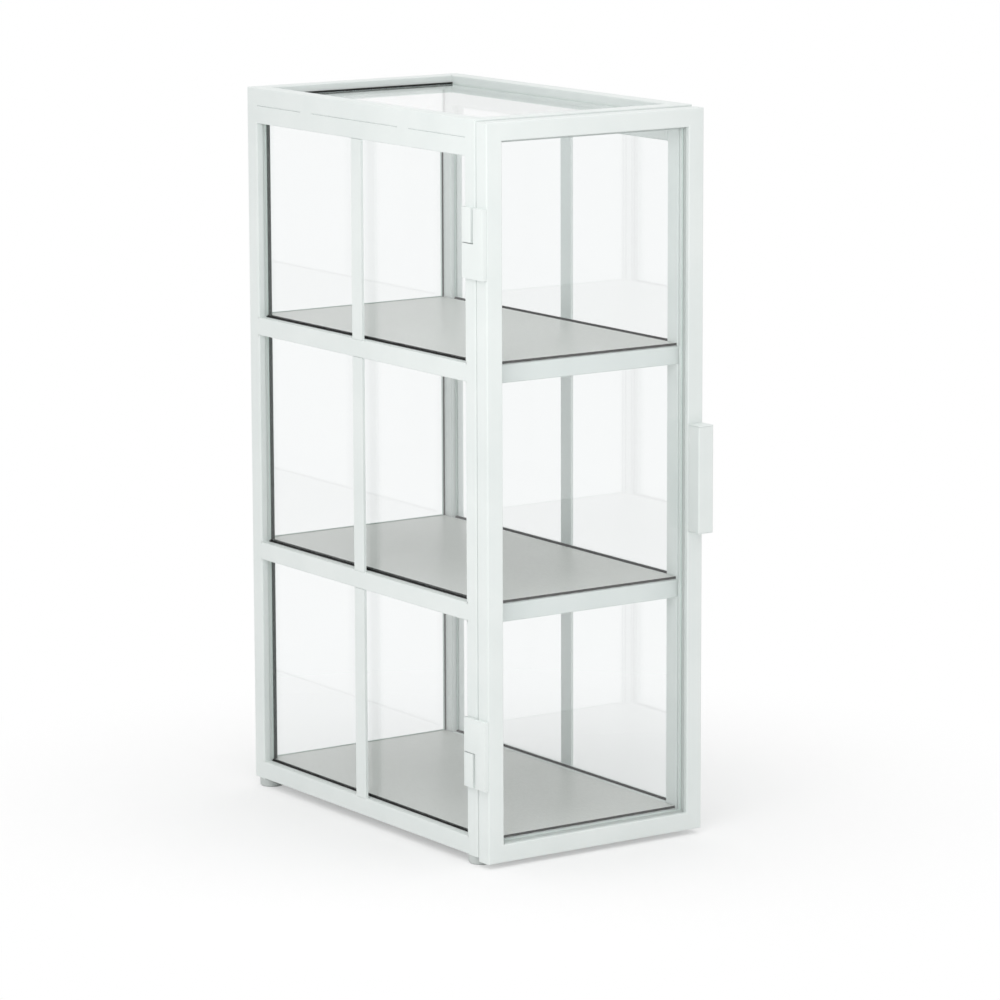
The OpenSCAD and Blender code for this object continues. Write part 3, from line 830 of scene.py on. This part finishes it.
class BREADCASE_OT_stage(bpy.types.Operator):
    """Sets the camera, the white surroundings, the floor and the soft lamps"""
    bl_idname = "bread_case.stage"
    bl_label = "Stage"

    def execute(self, context):
        scene = context.scene
        settings = stage_settings()
        scene.view_settings.view_transform = "Standard"
        camera_data = bpy.data.cameras.new("camera")
        camera_data.lens = settings.lens
        camera_data.sensor_width = SENSOR_WIDTH
        camera_data.clip_end = CLIP_END
        camera = bpy.data.objects.new("camera", camera_data)
        turn = settings.camera_turn
        matrix = Matrix.Rotation(turn[2], 4, "Z") @ Matrix.Rotation(turn[0], 4, "X")
        matrix = matrix @ Matrix.Rotation(turn[1], 4, "Z")
        camera.matrix_world = Matrix.Translation(settings.camera_place) @ matrix
        scene.collection.objects.link(camera)
        scene.camera = camera
        self.surround(scene, settings)
        self.lay_floor(scene, settings)
        self.hang_lamps(scene, settings)
        return {"FINISHED"}

    def seen_rays(self, tree):
        """1 for the rays that show the background itself: camera, glossy and transmitted ones."""
        rays = add(tree, "ShaderNodeLightPath").outputs
        either = add(tree, "ShaderNodeMath", {0: rays["Is Camera Ray"], 1: rays["Is Glossy Ray"]},
                     operation="MAXIMUM")
        return add(tree, "ShaderNodeMath", {0: either.outputs[0], 1: rays["Is Transmission Ray"]},
                   operation="MAXIMUM").outputs[0]

    def surround(self, scene, settings):
        """White surroundings: strength 1 where they are seen, their plain level where they light."""
        world = bpy.data.worlds.new("white_room")
        world.use_nodes = True
        tree = world.node_tree
        tree.nodes.clear()
        level = add(tree, "ShaderNodeMapRange", {"Value": self.seen_rays(tree),
                                                 "To Min": settings.surroundings, "To Max": 1.0})
        white = add(tree, "ShaderNodeBackground", {"Color": WHITE,
                                                   "Strength": level.outputs["Result"]})
        add(tree, "ShaderNodeOutputWorld", {"Surface": white.outputs["Background"]})
        scene.world = world

    def lay_floor(self, scene, settings):
        """A white floor that keeps the case's shadow near it and is seen as plain white farther off."""
        material, tree, place = begin_material("white_backdrop_paper")
        tooth = add(tree, "ShaderNodeTexNoise", {"Vector": place, "Scale": per_mm(2), "Detail": 2})
        relief = add(tree, "ShaderNodeBump", {"Strength": 0.1, "Distance": 0.05 * MM,
                                              "Height": tooth.outputs["Fac"]})
        paper = add(tree, "ShaderNodeBsdfDiffuse", {"Color": rgba(settings.paper),
                                                    "Normal": relief.outputs["Normal"]})
        white = add(tree, "ShaderNodeEmission", {"Color": WHITE, "Strength": 1})
        far = add(tree, "ShaderNodeVectorMath", {0: place}, operation="LENGTH").outputs["Value"]
        level = add(tree, "ShaderNodeMapRange", {
            "Value": far, "From Min": settings.white_from, "From Max": settings.white_at,
            "To Min": settings.whiteness, "To Max": 1.0}, interpolation_type="SMOOTHSTEP")
        share = add(tree, "ShaderNodeMath", {0: self.seen_rays(tree), 1: level.outputs["Result"]},
                    operation="MULTIPLY")
        mixed = add(tree, "ShaderNodeMixShader", {0: share.outputs[0], 1: paper.outputs["BSDF"],
                                                  2: white.outputs["Emission"]})
        end_material(material, tree, mixed.outputs["Shader"])
        half = settings.floor_half
        mesh = bpy.data.meshes.new("floor")
        mesh.from_pydata([(-half, -half, 0), (half, -half, 0), (half, half, 0), (-half, half, 0)], [],
                         [(0, 1, 2, 3)])
        mesh.materials.append(material)
        floor = bpy.data.objects.new("floor", mesh)
        scene.collection.objects.link(floor)

    def hang_lamps(self, scene, settings):
        """A near softbox, whose light falls off towards the back and the right, and a wide overhead."""
        softbox = bpy.data.lights.new("softbox", "AREA")
        softbox.energy = settings.softbox
        softbox.size = settings.softbox_size
        place = Vector(settings.softbox_place)
        facing = (Vector(settings.softbox_aim) - place).to_track_quat("-Z", "Y")
        holder = bpy.data.objects.new("softbox", softbox)
        holder.matrix_world = Matrix.Translation(place) @ facing.to_matrix().to_4x4()
        # No face of a pane mirrors the softbox as a white sheet
        holder.visible_glossy = False
        holder.visible_transmission = False
        scene.collection.objects.link(holder)
        overhead = bpy.data.lights.new("overhead", "SUN")
        overhead.energy = settings.overhead
        overhead.angle = settings.overhead_angle
        scene.collection.objects.link(bpy.data.objects.new("overhead", overhead))


class BREADCASE_PT_panel(bpy.types.Panel):
    """Lists the case's sizes, colours and pieces"""
    bl_idname = "BREADCASE_PT_panel"
    bl_label = "Bread display case"
    bl_space_type = "VIEW_3D"
    bl_region_type = "UI"
    bl_category = "Case"

    def draw(self, context):
        layout = self.layout
        for group in (sizes(), finishes(), stage_settings()):
            box = layout.box()
            for name in group.__annotations__:
                box.prop(group, name)
        for operator in OPERATORS:
            layout.operator(operator.bl_idname)


OPERATORS = (
    BREADCASE_OT_frame, BREADCASE_OT_panels, BREADCASE_OT_panes, BREADCASE_OT_sealant,
    BREADCASE_OT_welds, BREADCASE_OT_hinges, BREADCASE_OT_handle, BREADCASE_OT_catch,
    BREADCASE_OT_stage,
)
GROUPS = {"bread_case_sizes": CaseSizes, "bread_case_finishes": CaseFinishes,
          "bread_case_stage": CaseStage}


def register():
    """Registers the classes and hangs the property groups on the scene."""
    for name, group in GROUPS.items():
        bpy.utils.register_class(group)
        setattr(bpy.types.Scene, name, PointerProperty(type=group))
    for each in (*OPERATORS, BREADCASE_PT_panel):
        bpy.utils.register_class(each)


def unregister():
    """Takes everything that register added away again."""
    for each in (BREADCASE_PT_panel, *reversed(OPERATORS)):
        bpy.utils.unregister_class(each)
    for name, group in GROUPS.items():
        delattr(bpy.types.Scene, name)
        bpy.utils.unregister_class(group)


def main():
    register()
    for operator in OPERATORS:
        family, name = operator.bl_idname.split(".")
        getattr(getattr(bpy.ops, family), name)()


if __name__ == "__main__":
    main()
